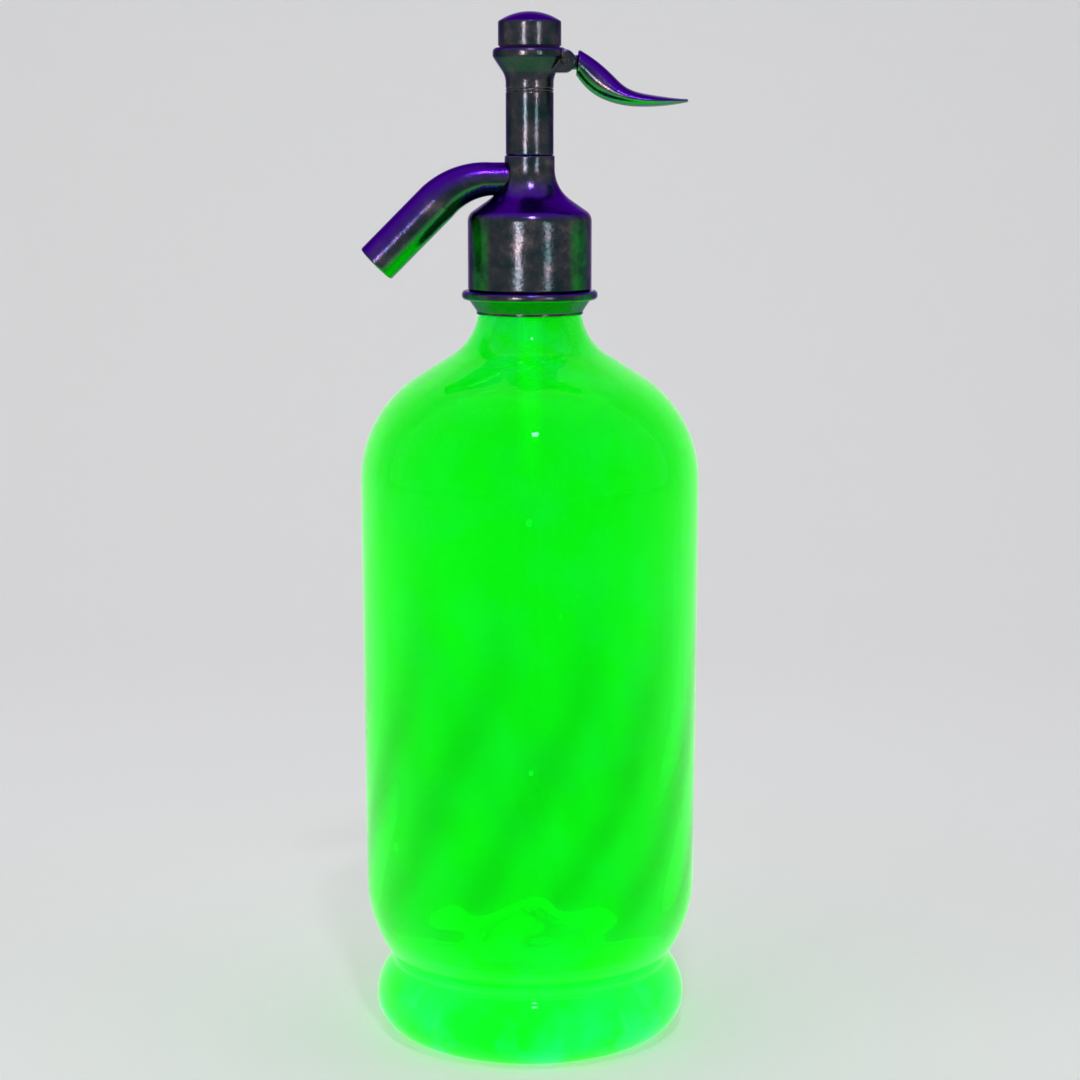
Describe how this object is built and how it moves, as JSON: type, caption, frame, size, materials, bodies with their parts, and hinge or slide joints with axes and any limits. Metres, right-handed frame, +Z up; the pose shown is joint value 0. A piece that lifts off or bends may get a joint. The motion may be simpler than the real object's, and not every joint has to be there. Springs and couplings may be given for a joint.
{
  "type": "soda siphon",
  "caption": "Lever soda siphon: ribbed glass bottle on a rolled foot, pewter head with bent spout, domed cap and sprung thumb lever that lifts the valve.",
  "frame": {"origin": "centre of the foot ring, on the surface that the bottle stands on", "axes": "+Z up along the bottle's axis, -X towards the spout's mouth, +X towards the lever's tip"},
  "size_m": [0.1, 0.1, 0.303],
  "materials": {
    "green_glass": "clear moulded uranium glass with soft twisted ribs",
    "clear_glass": "clear drawn tube",
    "pewter": "dull worn pewter with a soft polish",
    "brass": "turned, unpolished",
    "steel": "plain bright steel",
    "rubber": "matt black rubber",
    "leather": "greased leather"
  },
  "bodies": {
    "siphon": {"bottle": "green_glass", "dip_tube": "clear_glass", "tube_bush": "rubber", "tube_nut": "brass", "collar_half_front": "pewter", "collar_half_rear": "pewter", "bead_gasket": "rubber", "neck_washer": "rubber", "head_body": "pewter", "spout": "pewter", "valve_seat": "brass", "packing": "leather", "gland_washer": "brass", "column": "pewter", "lever_pin": "steel", "cap_washer": "leather", "top_cap": "pewter"},
    "lever": {"lever": "pewter"},
    "valve": {"valve_stem": "brass", "valve_holder": "brass", "valve_disc": "rubber", "valve_screw": "brass", "spring": "steel"}
  },
  "joints": [
    {"name": "lever_press", "type": "hinge", "parent": "siphon", "child": "lever", "pos_m": [0.01, 0, 0.28885], "axis": [0, 1, 0], "range_deg": [0, 15], "stiffness_Nm_per_rad": 0.4, "springref_deg": -11.46},
    {"name": "valve_lift", "type": "slide", "parent": "siphon", "child": "valve", "axis": [0, 0, 1], "range_m": [0, 0.0026], "deforming": ["spring"]}
  ],
  "couplings": [
    {"joint": "valve_lift", "follows": "lever_press", "m_per_rad": 0.0098862}
  ]
}
